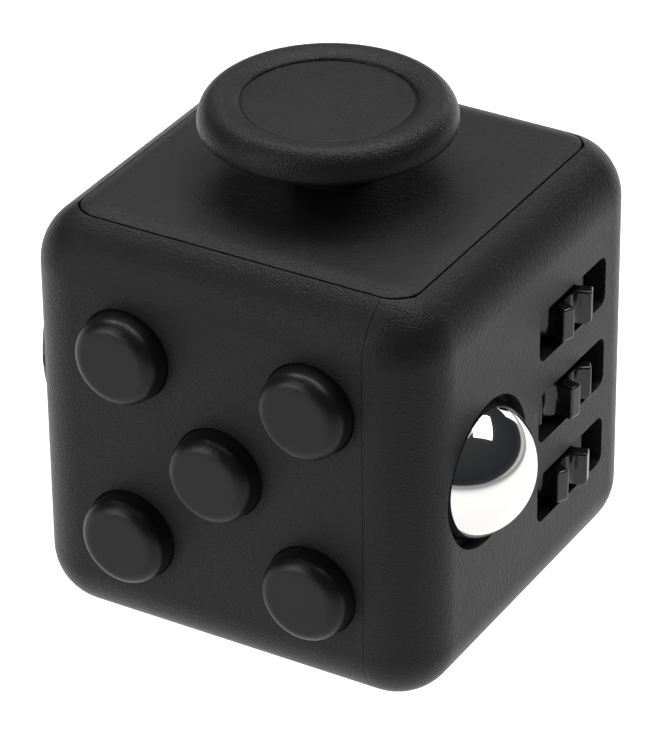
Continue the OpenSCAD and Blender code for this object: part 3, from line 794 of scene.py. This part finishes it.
# ---------------------------------------------------------------------------------------------
# Dial. A fluted knob in black ABS that turns on the left plate; a washer and a screw behind the
# plate hold its hub.
# ---------------------------------------------------------------------------------------------
dial_low, dial_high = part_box("dial")
dial_r = (dial_high.y - dial_low.y) / 2
dial_proud = -mid - dial_low.x
dial_lift = 0.15 * mm
hub_end = dial_high.x + mid
dial_round = 0.8 * mm
bowl_edge = dial_r - 2.1 * mm
bowl_step = 0.12 * mm
bowl_deep = 0.9 * mm
flutes = 24
flute_r = 0.7 * mm
outline = [(0.9 * mm, -hub_end), (hub_r, -hub_end), (hub_r, dial_lift), (dial_r - 0.2 * mm, dial_lift),
           (dial_r, dial_lift + 0.2 * mm), (dial_r, dial_proud - dial_round)]
outline += arc(dial_r - dial_round, dial_proud - dial_round, dial_round, 10, 90, 8)
outline += [(dial_r - 1.7 * mm, dial_proud), (bowl_edge, dial_proud - bowl_step)]
outline += [(bowl_edge * k, dial_proud - bowl_step - bowl_deep * (1 - k * k))
            for k in (0.9, 0.78, 0.64, 0.48, 0.3, 0.1)]
dial = turned("dial_knob", outline, 192)
for i in range(flutes):
    angle = math.radians(i * 360 / flutes)
    at = Vector((math.cos(angle), math.sin(angle), 0)) * (dial_r + 0.35 * mm)
    carve(dial, rod("flute", at + DOWN * far, at + UP * (dial_proud + far), flute_r, 32))
carve(dial, rod("screw hole", DOWN * far, UP * 0.9 * mm, 0.8 * mm, 32))
apply_modifier(dial, "BEVEL", width=0.12 * mm, segments=3, limit_method="ANGLE", angle_limit=math.radians(35))
smooth(put(dial, middle + LEFT * mid, LEFT), 45)
dress(dial, button_finish)
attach(dial, "dial")
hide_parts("dial")

# ---------------------------------------------------------------------------------------------
# Inner works. What the case hides: white acetal carriers, zinc-plated screws and pins, bright
# spring-steel domes and springs, and the two silicone domes of the silent buttons.
# ---------------------------------------------------------------------------------------------
def plated(name, colour, rough):
    """Plated or spring steel, with fine drawing marks."""
    material, place = new_finish(name)
    marks = noise(place, 0.12 * mm, 4, 0.6)
    bump = place.node("ShaderNodeBump", {"Height": marks, "Strength": 0.4, "Distance": 0.002 * mm})
    surface(place, {"Base Color": colour, "Metallic": 1.0, "Roughness": rough + (marks - 0.5) * 0.2,
                    "Normal": bump})
    return material


inner_finishes = {
    "inner_plastic": moulded("white acetal", (0.72, 0.72, 0.69, 1), (0.8, 0.8, 0.78, 1), 0.42,
                             0.25 * mm, 0.004 * mm),
    "screw_steel": plated("plated steel", (0.56, 0.57, 0.6, 1), 0.3),
    "spring_steel": plated("spring steel", (0.62, 0.62, 0.63, 1), 0.22),
    "dome_rubber": moulded("silicone rubber", (0.66, 0.66, 0.63, 1), (0.74, 0.74, 0.71, 1), 0.6,
                           0.4 * mm, 0.006 * mm),
}
for row in frame["record"]["subparts"]:
    node = frame["nodes"][row["node"]]
    if row["material_slot"] in inner_finishes:
        dress(node, inner_finishes[row["material_slot"]])

# ---------------------------------------------------------------------------------------------
# Studio. A dark grey table top that glows with painted light, brightest in a pool about the toy, eight soft
# lamps round it with the strongest high behind it on the right and low in front of it on the left, and the camera.
# ---------------------------------------------------------------------------------------------
bpy.ops.object.select_all(action="DESELECT")
bpy.ops.mesh.primitive_plane_add(size=3, location=(0, 0, cad_box[0][2]))
table = finish_primitive("table_top")
material, place = new_finish("table top")
# Painted light: the top glows brightest within pool_inner of a point beside the toy and fades to a dim glow past
# pool_outer. The glow fills in the toy's shadow and lights it from below.
pool_x, pool_y, pool_inner, pool_outer = -0.05, 0.1, 0.17, 0.3
across = place.node("ShaderNodeSeparateXYZ", {"Vector": place}, out="X") - pool_x
deep = place.node("ShaderNodeSeparateXYZ", {"Vector": place}, out="Y") - pool_y
away = (across * across + deep * deep) ** 0.5
fade = place.node("ShaderNodeMapRange", {"Value": away, "From Min": pool_inner, "From Max": pool_outer},
                  interpolation_type="SMOOTHSTEP")
tone = place.node("ShaderNodeMix", {0: fade, 6: (1.35, 1.35, 1.35, 1), 7: (0.3, 0.3, 0.3, 1)}, out=2,
                  data_type="RGBA")
surface(place, {"Base Color": (0.16, 0.16, 0.16, 1), "Roughness": 0.9, "Emission Color": tone,
                "Emission Strength": 1.0, "Specular IOR Level": 0.0})
dress(table, material)


lamp_distance = 0.7


def around(azimuth, elevation, distance):
    """A place seen from the toy, with azimuth 0 in front of it and 90 to its right."""
    a, e = math.radians(azimuth), math.radians(elevation)
    return Vector((math.sin(a) * math.cos(e), -math.cos(a) * math.cos(e), math.sin(e))) * distance + middle


def lamp(name, azimuth, elevation, width, height, power):
    """A softbox that points at the toy."""
    light = bpy.data.lights.new(name, "AREA")
    light.shape, light.size, light.size_y, light.energy = "RECTANGLE", width, height, power
    stand = bpy.data.objects.new(name, light)
    bpy.context.scene.collection.objects.link(stand)
    at = around(azimuth, elevation, lamp_distance)
    stand.location = at
    stand.rotation_euler = (middle - at).to_track_quat("-Z", "Y").to_euler()


lamp("key softbox", 134, 64, 0.5, 0.34, 3.1)
lamp("upper back softbox", 180, 66, 0.3, 0.3, 2.4)
lamp("left softbox", -116, 58, 0.3, 0.3, 2.3)
lamp("left back softbox", -150, 40, 0.3, 0.3, 0.55)
lamp("back softbox", 180, 12, 0.3, 0.2, 0.5)
lamp("low front softbox", -30, 12, 0.3, 0.3, 2.3)
lamp("front softbox", -30, 40, 0.3, 0.3, 1.1)
lamp("top softbox", 0, 88, 0.4, 0.4, 0.65)

# The room is dark, with a pale band along the horizon behind the toy
world = bpy.data.worlds.new("studio")
bpy.context.scene.world = world
world.use_nodes = True
world.node_tree.nodes.clear()
sky = Wire(world.node_tree, None)
look = sky.node("ShaderNodeTexCoord", {}, out="Generated")
up = sky.node("ShaderNodeSeparateXYZ", {"Vector": look}, out="Z")
toward_back = sky.node("ShaderNodeSeparateXYZ", {"Vector": look}, out="Y")
glow = sky.node("ShaderNodeValToRGB", {"Fac": up - toward_back * 0.09},
                stops=[(0.0, (0.8, 0.8, 0.8, 1)), (0.04, (0.05, 0.055, 0.06, 1)),
                       (0.2, (0.03, 0.034, 0.04, 1)), (1.0, (0.06, 0.06, 0.06, 1))])
room = sky.node("ShaderNodeBackground", {"Color": glow, "Strength": 1.0})
sky.node("ShaderNodeOutputWorld", {"Surface": room})

camera_data = bpy.data.cameras.new("camera")
camera = bpy.data.objects.new("camera", camera_data)
bpy.context.scene.collection.objects.link(camera)
view_azimuth, view_elevation, view_roll, view_distance = 30.374, 30.952, 0.596, 0.32887
camera_data.lens = 216.881
camera_data.shift_x, camera_data.shift_y = -0.006417, -0.00704
camera.location = around(view_azimuth, view_elevation, view_distance)
toward = (middle - camera.location).to_track_quat("-Z", "Y").to_matrix().to_4x4()
camera.rotation_euler = (toward @ Matrix.Rotation(math.radians(-view_roll), 4, "Z")).to_euler()
bpy.context.scene.camera = camera
bpy.context.scene.view_settings.view_transform = "Standard"
